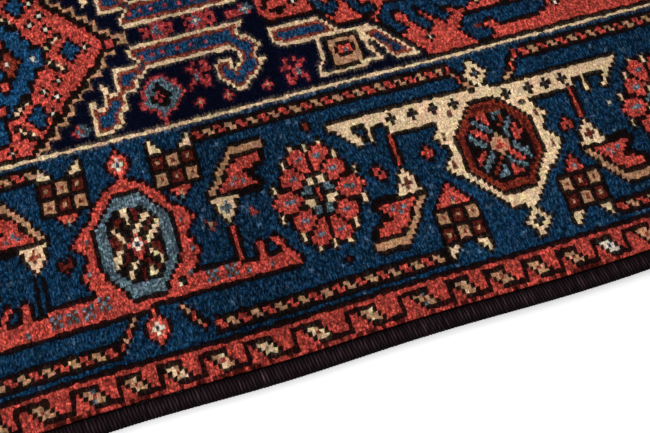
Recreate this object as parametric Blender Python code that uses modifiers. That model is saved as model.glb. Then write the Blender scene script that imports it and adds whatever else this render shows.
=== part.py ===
"""A hand-knotted Persian runner, lying flat: one knotted pile body, an overcast cord along each
long side, a flat-woven band across each end, and a fringe of knotted warp ends beyond each band.

Metres, +Z up. X runs along the warp (the length), Y across it, and the origin is on the floor
under the middle of the rug.
"""

import math

import bmesh
import bpy
from mathutils import Matrix

# ---- Driving dimensions -------------------------------------------------------------------------
KNOT_ALONG = 0.00368        # height of one knot, along the warp
KNOT_ACROSS = 0.00434       # width of one knot, across two warps
ROWS = 546                  # knots along the length
COLUMNS = 165               # knots across the width
PILE_HEIGHT = 0.009         # from the floor to the tips of the pile
CORD_WIDTH = 0.0183         # overcast side, seen from above
CORD_HEIGHT = 0.0080        # before its underside is pressed flat
CORD_WAIST = 0.0071         # height of the groove between its two lobes
CORD_FLAT = 0.0004          # how much the underside is pressed in
BAND_LENGTH = 0.013         # flat-woven end band, along the warp
BAND_HEIGHT = 0.0026
FRINGE_HEIGHT = 0.0030
SPINE_LENGTH = 0.004        # where the fringe's knots touch one another
TASSEL_LENGTH = 0.046       # the longest tassel, from that spine to its tip
WARPS_PER_TASSEL = 6        # warps knotted together in the fringe
TASSEL_ROOT = 0.0090        # width of a tassel at its knot
TASSEL_TIP = 0.0060         # and at its cut ends
TASSEL_UNEVEN = 0.18        # how much shorter the shortest tassel is
TASSEL_LEAN = 0.0012        # how far a tip lies to one side
TASSEL_LEAN_STEP = 1.9      # radians from one tassel's lean to the next
GOLDEN = 0.618              # spreads the tassels' lengths evenly
GAP = 0.0003                # between neighbouring pieces

# Slow waves of the two long edges, as a weaver's hand leaves them: (height, length, start).
EDGE_WAVES = (
    (0.0011, 0.290, 0.198),
    (0.0009, 1.100, 0.325),
)
EDGE_STEPS = 48             # straight runs that follow the waves along the whole length
CORD_STEPS = 9              # straight runs round each lobe of a cord

# ---- Sizes that follow --------------------------------------------------------------------------
PILE_HALF_LENGTH = ROWS * KNOT_ALONG / 2
PILE_HALF_WIDTH = COLUMNS * KNOT_ACROSS / 2
BAND_START = PILE_HALF_LENGTH + GAP
BAND_END = BAND_START + BAND_LENGTH
FRINGE_START = BAND_END + GAP
TASSELS = round(2 * COLUMNS / WARPS_PER_TASSEL)
TASSEL_PITCH = 2 * PILE_HALF_WIDTH / TASSELS

# Colour, roughness and metallic value of each material.
MATERIALS = {
    "wool_pile": ((0.030, 0.075, 0.155), 0.95, 0.0),
    "wool_cord": ((0.012, 0.009, 0.009), 0.85, 0.0),
    "warp_wool": ((0.560, 0.460, 0.320), 0.90, 0.0),
}


def clear_scene():
    for obj in list(bpy.data.objects):
        bpy.data.objects.remove(obj)


def material(name):
    """The Principled material of that name, made once."""
    if name in bpy.data.materials:
        return bpy.data.materials[name]
    colour, roughness, metallic = MATERIALS[name]
    made = bpy.data.materials.new(name)
    made.use_nodes = True
    shader = made.node_tree.nodes["Principled BSDF"]
    shader.inputs["Base Color"].default_value = (*colour, 1.0)
    shader.inputs["Roughness"].default_value = roughness
    shader.inputs["Metallic"].default_value = metallic
    return made


def edge_shift(x):
    """How far the edge on the -Y side stands out from its mean line at x. The +Y side is this turned round."""
    return sum(
        height * math.sin(2 * math.pi * (x - start) / length)
        for height, length, start in EDGE_WAVES
    )


def near_edge(x, beyond=0.0):
    """Y of the pile's edge on the -Y side, or of a line that far beyond it."""
    return -(PILE_HALF_WIDTH + edge_shift(x) + beyond)


def far_edge(x, beyond=0.0):
    """Y of the pile's edge on the +Y side, or of a line that far beyond it."""
    return -near_edge(-x, beyond)


def stations(start, end):
    """Values of x from start to end, no further apart than the waves need."""
    step = 2 * PILE_HALF_LENGTH / EDGE_STEPS
    runs = max(1, round((end - start) / step))
    return [start + (end - start) * i / runs for i in range(runs + 1)]


def add_curve(name, points, kind, slot, collection, cyclic):
    """A curve object with one poly spline through the points."""
    curve = bpy.data.curves.new(name, "CURVE")
    curve.dimensions = kind
    spline = curve.splines.new("POLY")
    spline.points.add(len(points) - 1)
    for place, point in zip(spline.points, points):
        place.co = (*point, 1.0)
    spline.use_cyclic_u = cyclic
    obj = bpy.data.objects.new(name, curve)
    collection.objects.link(obj)
    if slot:
        curve.materials.append(material(slot))
    return obj


def flat_piece(name, outline, height, slot, collection):
    """A flat piece of that outline, lying on the floor."""
    obj = add_curve(name, [(x, y, 0.0) for x, y in outline], "2D", slot, collection, cyclic=True)
    obj.data.fill_mode = "BOTH"
    obj.data.extrude = height / 2
    obj.location.z = height / 2
    return obj


def strip_outline(start, end):
    """Outline between two stations on the length, its sides on the two wavy edges."""
    along = stations(start, end)
    near = [(x, near_edge(x)) for x in along]
    far = [(x, far_edge(x)) for x in reversed(along)]
    return near + far


def fringe(name, side, collection):
    """One comb: a spine against the end band, and a tapered tooth for each tassel, uneven in length and lean."""
    form = bmesh.new()
    bmesh.ops.create_grid(form, x_segments=1, y_segments=2 * TASSELS - 1, size=0.5)

    # The spine has a cell for each tassel and one for each gap between two.
    root = FRINGE_START + SPINE_LENGTH
    form.verts.ensure_lookup_table()
    for vertex in form.verts:
        line = round((vertex.co.y + 0.5) * (2 * TASSELS - 1))
        middle = (line // 2 - (TASSELS - 1) / 2) * TASSEL_PITCH
        vertex.co.y = middle + (TASSEL_ROOT / 2 if line % 2 else -TASSEL_ROOT / 2)
        vertex.co.x = root if vertex.co.x > 0 else FRINGE_START

    spine_middle = FRINGE_START + SPINE_LENGTH / 2
    outer = [e for e in form.edges if all(v.co.x > spine_middle for v in e.verts)]
    outer.sort(key=lambda e: e.verts[0].co.y + e.verts[1].co.y)
    for tassel, edge in enumerate(outer[::2]):
        lean = TASSEL_LEAN * math.sin(tassel * TASSEL_LEAN_STEP)
        centre = (edge.verts[0].co.y + edge.verts[1].co.y) / 2
        drawn = bmesh.ops.extrude_edge_only(form, edges=[edge])["geom"]
        for vertex in (v for v in drawn if isinstance(v, bmesh.types.BMVert)):
            half = TASSEL_TIP / 2 if vertex.co.y > centre else -TASSEL_TIP / 2
            vertex.co.y = centre + lean + half
            vertex.co.x = root + TASSEL_LENGTH * (1 - TASSEL_UNEVEN * (tassel * GOLDEN % 1))

    if side < 0:
        bmesh.ops.rotate(form, verts=form.verts, matrix=Matrix.Rotation(math.pi, 3, "Z"))
    bmesh.ops.recalc_face_normals(form, faces=form.faces)
    mesh = bpy.data.meshes.new(name)
    form.to_mesh(mesh)
    form.free()
    mesh.materials.append(material("warp_wool"))
    obj = bpy.data.objects.new(name, mesh)
    collection.objects.link(obj)
    thick = obj.modifiers.new("thickness", "SOLIDIFY")
    thick.thickness = FRINGE_HEIGHT
    thick.offset = 0.0
    obj.location.z = FRINGE_HEIGHT / 2


def cord_section():
    """Outline of two cords side by side under one wrapping, flat where they lie on the floor."""
    radius = CORD_HEIGHT / 2
    middle = CORD_WIDTH / 2 - radius

    def lobe(centre, first, last):
        step = (last - first) / CORD_STEPS
        angles = [math.radians(first + step * i) for i in range(CORD_STEPS + 1)]
        return [(centre + radius * math.cos(a), radius * math.sin(a)) for a in angles]

    waist = (0.0, CORD_WAIST - radius)
    points = lobe(middle, -72, 118) + [waist] + lobe(-middle, 62, 252)
    return [(x, max(y, CORD_FLAT - radius)) for x, y in points]


def side_cord(name, edge, profile, collection):
    """The overcast cord along one wavy edge, over the pile and both end bands."""
    middle = GAP + CORD_WIDTH / 2
    points = [(x, edge(x, middle), 0.0) for x in stations(-BAND_END, BAND_END)]
    path = add_curve(f"{name}_path", points, "3D", None, collection, cyclic=False)
    path.data.twist_mode = "Z_UP"
    path.data.bevel_mode = "OBJECT"
    path.data.bevel_object = profile
    path.data.use_fill_caps = True

    # The swept curve becomes one welded mesh, so that its end caps are part of it.
    bpy.context.view_layer.update()
    swept = path.evaluated_get(bpy.context.evaluated_depsgraph_get())
    mesh = bpy.data.meshes.new_from_object(swept)
    bpy.data.objects.remove(path)
    form = bmesh.new()
    form.from_mesh(mesh)
    bmesh.ops.remove_doubles(form, verts=form.verts, dist=1e-6)
    bmesh.ops.recalc_face_normals(form, faces=form.faces)
    form.to_mesh(mesh)
    form.free()
    mesh.name = name
    mesh.materials.clear()
    mesh.materials.append(material("wool_cord"))
    obj = bpy.data.objects.new(name, mesh)
    collection.objects.link(obj)
    obj.location.z = -min(y for _, y in cord_section())


def end_pieces(name, side, collection):
    """The flat-woven band and the fringe at one end. side is 1 at +X and -1 at -X."""
    band = strip_outline(BAND_START, BAND_END)
    if side < 0:
        band = strip_outline(-BAND_END, -BAND_START)
    flat_piece(f"end_band_{name}", band, BAND_HEIGHT, "warp_wool", collection)
    fringe(f"fringe_{name}", side, collection)


def build():
    clear_scene()
    rug = bpy.data.collections.new("persian_rug")
    guides = bpy.data.collections.new("guides")
    bpy.context.scene.collection.children.link(rug)
    bpy.context.scene.collection.children.link(guides)

    body = strip_outline(-PILE_HALF_LENGTH, PILE_HALF_LENGTH)
    flat_piece("pile_body", body, PILE_HEIGHT, "wool_pile", rug)

    section = [(x, y, 0.0) for x, y in cord_section()]
    profile = add_curve("cord_profile", section, "2D", None, guides, cyclic=True)
    profile.hide_render = True
    profile.display_type = "WIRE"
    side_cord("side_cord_near", near_edge, profile, rug)
    side_cord("side_cord_far", far_edge, profile, rug)

    end_pieces("left", -1, rug)
    end_pieces("right", 1, rug)


build()
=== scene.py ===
import math

import bpy
import numpy as np
from mathutils import Matrix, Vector


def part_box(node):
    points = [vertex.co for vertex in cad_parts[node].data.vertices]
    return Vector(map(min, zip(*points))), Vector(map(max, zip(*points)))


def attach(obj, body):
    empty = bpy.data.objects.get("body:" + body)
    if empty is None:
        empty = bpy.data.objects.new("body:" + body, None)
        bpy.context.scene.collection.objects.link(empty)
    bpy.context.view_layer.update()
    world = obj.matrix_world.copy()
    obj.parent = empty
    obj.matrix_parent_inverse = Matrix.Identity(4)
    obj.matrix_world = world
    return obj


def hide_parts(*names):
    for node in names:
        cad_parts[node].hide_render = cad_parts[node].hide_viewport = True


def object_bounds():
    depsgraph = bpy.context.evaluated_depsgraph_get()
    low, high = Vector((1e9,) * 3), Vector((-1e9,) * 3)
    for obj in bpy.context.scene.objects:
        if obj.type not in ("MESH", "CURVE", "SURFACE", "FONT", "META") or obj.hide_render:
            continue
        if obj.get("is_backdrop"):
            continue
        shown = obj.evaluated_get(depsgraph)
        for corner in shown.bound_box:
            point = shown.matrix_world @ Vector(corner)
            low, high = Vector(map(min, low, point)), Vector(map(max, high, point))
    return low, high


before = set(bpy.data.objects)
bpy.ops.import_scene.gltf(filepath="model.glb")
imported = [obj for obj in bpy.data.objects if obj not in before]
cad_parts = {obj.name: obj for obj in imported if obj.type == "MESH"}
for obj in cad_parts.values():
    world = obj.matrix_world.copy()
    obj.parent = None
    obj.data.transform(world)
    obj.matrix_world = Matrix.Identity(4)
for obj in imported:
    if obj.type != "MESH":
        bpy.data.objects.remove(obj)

# A hand-knotted rug, lying flat. Its drawing is woven knot by knot on a chart of colours. Places on
# the chart are (u, v) in knots: u runs along the warp to +X, and v across it to the near side, -Y.

CAD_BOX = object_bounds()
PILE_LOW, PILE_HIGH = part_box("pile_body")
SEED = 7

# ---- Knots ----
KNOT_ALONG = 0.00368
KNOT_ACROSS = 0.00434
ROWS = 546
COLUMNS = 165
MIDDLE_U, MIDDLE_V = -95.0, -55.3  # the rug's middle on the chart
FIRST_U = MIDDLE_U - ROWS / 2
FIRST_V = MIDDLE_V - COLUMNS / 2
LAST_U, LAST_V = FIRST_U + ROWS, FIRST_V + COLUMNS
BORDER = 58  # knots from the edge to the field
GUARD = 7  # knots of the red stripe along the edge
AXIS_T = -5.3  # t of the border's middle
NUDGE = 1e-6  # keeps a middle between two knots on the same one

WOOLS = (  # name, letter on the small charts, colour as seen, how lively its tufts are, how slender
    ("blue", "b", (15, 53, 84), 1.5, 0.5),
    ("navy", "n", (5, 8, 26), 0.7, 0.3),
    ("red", "r", (177, 68, 58), 1.3, 0.5),
    ("ivory", "i", (228, 195, 155), 0.36, 1),
    ("tan", "t", (176, 130, 98), 0.65, 0.8),
    ("black", "k", (15, 9, 9), 0.5, 0),
    ("grey", "g", (77, 94, 102), 1.5, 0.6),
    ("rust", "o", (110, 41, 28), 1.3, 0.7),
    ("brown", "m", (76, 24, 20), 1.3, 0.4),
    ("pink", "p", (158, 56, 56), 1.3, 0.5),
    ("white", "w", (222, 209, 188), 0.35, 1),
)
NAMES, LETTERS, PALETTE, LIVELY, SLENDER = zip(*WOOLS)
NUMBER = {key: number for number, keys in enumerate(zip(NAMES, LETTERS)) for key in keys}

chart = np.full((ROWS, COLUMNS), NUMBER["navy"], np.int8)
KNOT_U = (FIRST_U + 0.5 + np.arange(ROWS))[:, None]  # the middles of the knots
KNOT_V = FIRST_V + 0.5 + np.arange(COLUMNS)


class Place:
    """Where a motif is drawn. Its own (s, t) runs along a border and out across it."""

    def __init__(self, u=0, v=0, along=1, out=1, turned=False):
        self.u, self.v, self.along, self.out, self.turned = u, v, along, out, turned

    def on_chart(self, points):
        s, t = np.array(points, float).reshape(-1, 2).T
        if self.turned:
            return np.stack([self.u + self.out * t, self.v + self.along * s], 1)
        return np.stack([self.u + self.along * s, self.v + self.out * t], 1)

    def moved(self, s, t=0, flip_s=False, flip_t=False):
        """The same place moved by its own s and t, with s or t then running the other way."""
        (u, v), = self.on_chart([(s, t)])
        along = -self.along if flip_s else self.along
        return Place(u, v, along, -self.out if flip_t else self.out, self.turned)


def inside(corners):
    """The knots whose middle is inside a closed outline."""
    hit = np.zeros(chart.shape, bool)
    for (u0, v0), (u1, v1) in zip(corners, np.roll(corners, -1, 0)):
        if v0 != v1:
            crossing = u0 + (KNOT_V - v0) * (u1 - u0) / (v1 - v0)
            hit ^= ((v0 > KNOT_V) != (v1 > KNOT_V)) & (KNOT_U < crossing)
    return hit


def along_line(corners, width):
    """The knots whose middle is within half a width of a line."""
    hit = np.zeros(chart.shape, bool)
    for a, b in zip(corners[:-1], corners[1:]):
        u, v, run = KNOT_U - a[0], KNOT_V - a[1], b - a
        share = np.clip((u * run[0] + v * run[1]) / (run @ run), 0, 1)
        hit |= np.hypot(u - share * run[0], v - share * run[1]) <= width / 2
    return hit


def grown(hit):
    """Some knots and those beside them."""
    wide = hit.copy()
    wide[1:] |= hit[:-1]
    wide[:-1] |= hit[1:]
    wide[:, 1:] |= hit[:, :-1]
    wide[:, :-1] |= hit[:, 1:]
    return wide


def knot_in(hit, colour, edge, rims=()):
    """Knots a shape, with an edge round it and rims inside it that are each one knot wide."""
    if edge:
        chart[grown(hit) & ~hit] = NUMBER[edge]
    for rim in rims:
        chart[hit] = NUMBER[rim]
        hit = ~grown(~hit)
    chart[hit] = NUMBER[colour]


def fill(place, colour, *outlines, edge="black", rims=()):
    """Fills closed outlines as one shape."""
    hits = [inside(place.on_chart(outline)) for outline in outlines]
    knot_in(np.any(hits, 0), colour, edge, rims)


def stroke(place, colour, width, *lines, edge="black"):
    """Draws lines as one shape."""
    hits = [along_line(place.on_chart(line), width) for line in lines]
    knot_in(np.any(hits, 0), colour, edge)


def box(s0, t0, s1, t1):
    return [(s0, t0), (s1, t0), (s1, t1), (s0, t1)]


def diamond(s, t, half_s, half_t):
    return [(s - half_s, t), (s, t - half_t), (s + half_s, t), (s, t + half_t)]


def flipped(line):
    return [(-s, t) for s, t in line]


def mirrored(half):
    """A closed outline from its right half."""
    return list(half) + flipped(half)[::-1]


def stairs(start, end, steps):
    """A line of equal steps: along, then out."""
    (s0, t0), (s1, t1) = start, end
    corners = [start]
    for step in range(1, steps + 1):
        s = s0 + (s1 - s0) * step / steps
        corners += [(s, corners[-1][1]), (s, t0 + (t1 - t0) * step / steps)]
    return corners


def stamp(place, s, t, rows, edge=None, **swap):
    """Knots a small chart round (s, t): its letters are knots, and its dots leave the ground."""
    wide, high = len(rows[0]), len(rows)
    spots, letters = zip(*(
        ((s - wide / 2 + 0.5 + i, t - high / 2 + 0.5 + j), NUMBER[swap.get(letter, letter)])
        for j, row in enumerate(rows) for i, letter in enumerate(row) if letter != "."
    ))
    cells = np.floor(place.on_chart(spots) - (FIRST_U, FIRST_V) + NUDGE).astype(int)
    fits = ((cells >= 0) & (cells < (ROWS, COLUMNS))).all(1)
    cells, letters = cells[fits], np.array(letters)[fits]
    if edge:
        hit = np.zeros(chart.shape, bool)
        hit[tuple(cells.T)] = True
        chart[grown(hit) & ~hit] = NUMBER[edge]
    chart[tuple(cells.T)] = letters


def strew(place, rows, *spots):
    """Knots the same small chart at several spots."""
    for s, t in spots:
        stamp(place, s, t, rows)


# ---- Small charts ----
PENDANT = "..r.. ..r.. .rrr. rrwrr rwbwr rrwrr .rrr. ..r..".split()
IVORY_PENDANT = """
..iii..
...i...
..iii..
.iikii.
iikbkii
.iikii.
..iii..
..ii...
""".split()
PINWHEEL = """
..kkiikmkk...
.kkkiikmmkk..
kkmmkikmkiik.
kkmkkikkiikmk
kikkkkkiikmki
kmikkkiikmkii
mmiikkrkkkiik
mmmikrwrkiikk
kmmkrwbwrikkk
kiikkrwrkkmmk
iikmkrrrkimmk
iikmkkrkkkimk
ikmkiikmmkkik
kkkkikkkmmkik
.kkikkmkikmk.
..kikkmkiikk.
...kkkmkkkk..
""".split()
STAR = """
...kkrrrkgggkk...
...ggkrrkgkokk...
..kkggkrkkkokgk..
.krrkggkkkokggkk.
kgkrrkggkkkggkrk.
kggkrrkktkkgkrrk.
kkggkrktttkgkrrrk
kkkggkttrttkkrrkk
kkkkkktrrrtkgkkkk
kkrrkgktttrkggkkk
krrkggkktkrrkgggk
krkggkkokgkrrkggk
kkggkkokkggkrrkgk
.kgkkokgkrkggkkk.
..kkokggkrrkggk..
...kkgggkrrrkk...
....kkkkkkkkk....
""".split()
BIRD = """
........ttttttttt
.......tttttttttt
......ttkkkkkkkk.
.....ttkkrrrrrrk.
....ttkrrrrrrrrk.
...ttkrrrrrrrk...
...tkkrrrrkkk....
..ttkrrgrrrk.....
.ttkrrgrrgrrk....
ttkrrrrrrrrrrk...
kkkkkkkkkkkkkk...
""".split()
BLOSSOM = ("iiiiiii", ".iigii.", ".igggi.", ".iigi..", "..iii..", "...i...")
CELLS = {"t": ("ttt", "tot", "ttt"), "m": ("mmm", "mtm", "mmm")}
EAR = ("i..", "ii.", "iii")
# A quarter of a rosette, from its middle outwards. A and B change from quarter to quarter.
ROSETTE = """
rkkkkrrgggrrr
rkAAAkrrrrrrk
kkAAkkkrrrrk.
kBBkrrrkkkkik
kBBkrrrrrkkik
kkkrrggrrk.k.
krrkrrrrrk...
krrrkrrrk....
krrrrkkik....
krggrrkik....
krrrrrkk.....
ikrrrk.......
ikkkik.......
k...k........
""".split()
MARK = ("gog", "ogo", "gog")
CROSS = (".k.", "knk", ".k.")
TUFT = ("r.r", "rrr", ".r.")
EYE = (".k.", "kwk", ".k.")
CRAB = """
..p.pp.
pp...p.
.pp.ppp
..gp...
.pgp.p.
pp.ppp.
p...pp.
""".split()
SPRIG = (".p.", "ptp", ".p.")
LEAF = """
....p.p..
pp.pggpp.
.ppggpp.p
p..pgp.pp
...p.pp..
""".split()
DAISY = ("p..pp..p.", ".ppgpp..p", "p.gwgpp.p", ".ppgp.pp.", "...p.p...")


# ---- Border motifs, drawn with s = 0 on their axis and t as on the near border ----
PENDANT_T = 13.2
OUTER_RIBBON, INNER_RIBBON = 16.2, -26.8


def upside_down(place):
    """The same place turned over across the border."""
    return place.moved(0, 2 * AXIS_T, flip_t=True)


def both_ways(place):
    """The same place, and the one that mirrors it."""
    return place, place.moved(0, flip_s=True)


def pendants(place, s, rows, edge="black"):
    """The small diamonds on stems, above and below a turtle: s places the one below."""
    stamp(place, s, PENDANT_T, rows, edge)
    stamp(upside_down(place), 0, PENDANT_T, rows, edge)


def red_turtle(place):
    shell = mirrored([
        (1.2, -20.4), (4.8, -18.6), (8.9, -14.6), (11, -12), (13.2, -11), (15.2, -8.5), (13, -6.2),
        (12.6, -5.2), (12.9, -3.9), (14.6, -1.2), (13.2, 1.5), (12, 3.3), (12, 8),
    ])
    bar = mirrored([(12, 3.7), (24, 3.7), (24, 5.5), (37, 5.5), (39, 7.2), (39, 8.2)])
    prongs = [box(28.9, 1.2, 30.1, 6), [(32.4, 1), (34, 1), (37.5, 6), (35.6, 6)]]
    prongs += [flipped(prong) for prong in prongs]
    pendants(place, 0, PENDANT)
    fill(place, "red", shell, bar, *prongs, box(-39, 7, -0.5, 9.2))
    pendants(place, 0, PENDANT, None)
    ring = [(3, -16.4), (4.8, -14.7), (9.4, -10.3), (9.4, -1), (6, 3.4), (3.5, 6.3)]
    fill(place, "grey", mirrored(ring))
    fill(place, "black", mirrored([(2.4, -13.6), (6, -9.8), (6.2, -1), (2.9, 3.3)]), edge=None)
    stamp(place, 0, AXIS_T, PINWHEEL)
    strew(place, MARK, (-11, 5.7), (-15, 6.7), (-19, 6.7), (-23, 6.7), (16, 5.7), (21, 5.7))
    strew(
        place, ("g", "o"), (-12, -8.3), (-13, -0.8), (-30, 8.2), (12, -8.3), (13, -0.8), (11, 4.2),
        (25, 6.7), (31, 7.2),
    )
    stamp(place, 8, 5.2, ("kk", "wk"))


def ivory_turtle(place):
    """A turtle the other way up: its bar is on the field's side."""
    shell = [
        (-15, -16), (-15, -13.5), (-17.5, -11.5), (-16.5, -9.5), (-14.5, -8), (-14.5, -6.5),
        (-17.5, -3.7), (-16.5, -2), (-12.5, 0.5), (-9.5, 4), (-5.5, 8), (-3.5, 9.2), (2.5, 9.3),
        (6.5, 5.5), (9.5, 3), (12.5, 0.5), (15.7, -3), (12.5, -6), (12.5, -7.5), (14.8, -10.5),
        (13, -12), (12, -14), (12, -16),
    ]
    bar = [
        (-44.5, -20.7), (2.5, -20.7), (3.5, -19.7), (40.5, -19.7), (37.5, -16.7), (26, -16.7),
        (26, -15.2), (-28.5, -15.2), (-29, -17.3), (-32, -17.8), (-35.5, -18.8), (-38.6, -18.8),
        (-38.9, -17.4), (-36.2, -14.8), (-35.8, -13.7), (-37.4, -13.7), (-40.2, -16.4), (-44.5, -19.5),
    ]
    prongs = (
        box(-34.5, -18.5, -33, -13.6),
        box(28.6, -17, 29.6, -12.8),
        [(35.5, -17.3), (38, -17.3), (34.8, -12.6), (33.4, -12.8)],
    )
    pendants(place, 1, IVORY_PENDANT)
    fill(place, "ivory", shell, bar, *prongs)
    pendants(place, 1, IVORY_PENDANT, None)
    octagon = [
        (-5.5, -17.7), (2.5, -17.7), (5.5, -15), (10.2, -11), (10.3, -1), (6.5, 3), (4.5, 5.7),
        (2.5, 6.4), (-4.5, 6.4), (-8.5, 2.5), (-12.5, -1.5), (-12.5, -10), (-8, -15),
    ]
    fill(place, "rust", octagon, edge=None, rims=("black",))
    for scale, colour in ((0.84, "brown"), (0.78, "rust"), (0.7, "black")):
        ring = [(-1 + (s + 1) * scale, -5.6 + (t + 5.6) * scale) for s, t in octagon]
        fill(place, colour, ring, edge=None)
    stamp(place, -1, AXIS_T, STAR)
    for s in (-27, -21, -15, -9, 6, 13, 18, 23):
        stamp(place, s, -18.3 if s < 0 else -17.3, CROSS)
    strew(place, ("m", "m"), (-15, -10.8), (-15, -3.8), (12, -10.8), (13, -2.8), (-11, -15.8))
    stamp(place, 9, -14.3, ("nn",))


def house(place, roof):
    """Six cells under two ears, over a triangle that is roof wide."""
    for half in both_ways(place):
        stamp(half, -4, -26.3, EAR, "black")
    fill(place, "black", box(-6.5, -24.8, 6.5, -15.8), edge=None)
    for row, kinds in enumerate(("mtm", "tmt")):
        for column, kind in enumerate(kinds):
            stamp(place, 4 * column - 4, 4 * row - 22.3, CELLS[kind])
    fill(place, "red", [(-roof / 2, -15.8), (roof / 2, -15.8), (0, roof * 0.56 - 15.7)])
    stamp(place, 0, -14.3, ("t", "g"))


def bird(place, heart, stem):
    """A bird over a blossom on a stem. It looks along +s, and heart is the blossom's."""
    stamp(place, 5, -16.3, BIRD, "black")
    stamp(place, 0, -7.8, BLOSSOM, "black", g=heart)
    stroke(place, stem, 1.1, [(0, -3.3), (0, 3.7)])


def rosette(place, s, t=AXIS_T):
    """Ten petals round a small cross, with ticks of ivory between them, round (s, t)."""
    middle = place.moved(s, t)
    for flip_t, near, far in ((False, "i", "g"), (True, "g", "i")):
        for quarter in both_ways(middle.moved(0, flip_t=flip_t)):
            stamp(quarter, 6, 6.5, ROSETTE, A=near, B=far)


# ---- Stripes ----
GUARD_STEPS = (13, 11, 10, 10, 11, 12, 14, 14, 13, 10, 10, 10, 10, 9)
GUARD_START, GUARD_ROUNDS = -398, 4
GUARD_ROW = 23.7
GUARD_LEAVES = "iot tti tog tti tot tot tmt wbw tot tti tot tot tog tpi iot tpi iti".split()


def guard_repeat(place, s, steps, leaf):
    """A bar, and a leaf in a slanting line that runs on to the next bar."""
    lead = (steps - 9) // 2
    tail = steps - 9 - lead
    a, b, c = leaf
    core = ("kkkkkrrr", f"k{a}{a}{c}krrr", f"rk{a}{b}{a}krr", f"rrk{c}{a}{a}kr", "rrrkkkkk")
    rows = [
        "k" + ("k" if row == 0 else "r") * lead + text + ("k" if row == 4 else "r") * tail
        for row, text in enumerate(core)
    ]
    stamp(place, s + steps / 2, GUARD_ROW, rows)


def guard(place, start, end):
    s = GUARD_START
    for steps, leaf in zip(GUARD_STEPS * GUARD_ROUNDS, GUARD_LEAVES * GUARD_ROUNDS):
        if s >= start and s + steps <= end:
            guard_repeat(place, s, steps, leaf)
        s += steps


def ribbon(place, t, start, end):
    """A black ribbon of small slanting flowers, red and tan by turns."""
    fill(place, "black", box(start, t - 2, end, t + 2), edge=None)
    for turn in range(int(end - start) // 3):
        letter = "rt"[turn % 2]
        rows = (letter * 2 + ".", "." + letter * 2)
        stamp(place, start + 1.5 + 3 * turn, t, rows)


# ---- Layout ----
RED_AXIS, IVORY_AXIS, ROSETTE_AXIS, LAST_ROSETTE = -47.5, 52.5, 0.5, 100.5
CORNER_S = 50
SIDES = (Place(), Place(0, 2 * MIDDLE_V, 1, -1))
END_U = LAST_U - LAST_V  # where an end border's t = 0 lies
ENDS = [
    Place(MIDDLE_U + side * (END_U - MIDDLE_U), MIDDLE_V, side, side, True) for side in (1, -1)
]


def edge_distance():
    """How many knots lie between each knot and the nearest edge."""
    row, column = np.ogrid[:ROWS, :COLUMNS]
    return np.minimum(np.minimum(row, ROWS - 1 - row), np.minimum(column, COLUMNS - 1 - column))


def stripes():
    """The long stripes of the border, each over the inner part of the one before."""
    distance = edge_distance()
    for first, colour in ((0, "red"), (GUARD, "black"), (GUARD + 1, "blue"), (BORDER - 1, "ivory")):
        chart[(distance >= first) & (distance < BORDER)] = NUMBER[colour]


def around_turtle(place, houses, birds):
    """Houses by their s and width of roof, and birds by their s, blossom's heart and stem."""
    for s, roof in houses:
        house(place.moved(s, flip_s=s < 0), roof)
    for s, heart, stem in birds:
        bird(place.moved(s, flip_s=s < 0), heart, stem)


def tails(place, t, *ends):
    """The ends of a ribbon, which slant in towards the border's middle: the way and s of each."""
    rise = 1.5 if t < AXIS_T else -1.5
    for way, end in ends:
        for part, colour in enumerate(("red", "tan", "red", "tan")):
            line = [(end + way * 1.2 * step, t + rise * step) for step in (part, part + 0.8)]
            stroke(place, colour, 1.3, line)


def red_group(place):
    red_turtle(place)
    around_turtle(place, ((-15, 6), (14, 6)), ((-25, "o", "blue"), (24, "g", "red")))


def ivory_group(place):
    ivory_turtle(place)
    houses, birds = ((-19, 9.4), (16, 6.6)), ((-29, "m", "red"), (24, "m", "red"))
    around_turtle(upside_down(place), houses, birds)


def fillers(place):
    """Small flowers strewn on the ground: place, chart, edge, and the letters that change."""
    dull = {"r": "t", "w": "m"}
    for s, t, rows, edge, swap in (
        (2, -22, ("o", "o"), "black", {}),
        (2, 11, (".k.", "kmk", ".k."), None, {}),
        (-29, AXIS_T, ("o.k", "kto", ".o."), None, {}),
        (-17, -6.3, ("r.", "po"), None, {}),
        (-66, -4.3, TUFT, "black", {"r": "m"}),
        (17, -6.8, ("pr.", "rkr", ".rp"), "black", {}),
        (31, -8.3, (".r.", "rrr", ".rr"), "black", {}),
        (71, -6.8, (".r.", "rrr", "r.r"), "black", {}),
        (85, -8.8, ("w",), None, {}),
        (119, -6.8, DAISY, "black", {}),
        (121, -18.3, PENDANT, "black", dull),
        (121, 6.7, PENDANT, "black", dull),
    ):
        stamp(place, s + 0.5 * (len(rows[0]) % 2), t, rows, edge, **swap)


def side_border(place):
    """One long side: its half towards +X, and the other half turned over at the middle."""
    for half in (place, place.moved(2 * MIDDLE_U, flip_s=True)):
        red_group(half.moved(RED_AXIS))
        ivory_group(half.moved(IVORY_AXIS))
        rosette(half, ROSETTE_AXIS)
        rosette(half, LAST_ROSETTE)
        fillers(half)
        ribbon(half, OUTER_RIBBON, -34, 28)
        ribbon(half, OUTER_RIBBON, 75, 169)
        ribbon(half, INNER_RIBBON, -27, 45)
        ribbon(half, INNER_RIBBON, 67, 125)
        tails(half, OUTER_RIBBON, (1, -57), (-1, -36))
        tails(half, INNER_RIBBON, (1, 45.5), (-1, 65.5))
    for t, reach in ((OUTER_RIBBON, 38), (INNER_RIBBON, 27)):
        ribbon(place, t, MIDDLE_U - reach, MIDDLE_U + reach)
    rosette(place, MIDDLE_U + 0.5)
    guard(place, FIRST_U + GUARD, LAST_U - GUARD)


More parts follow.
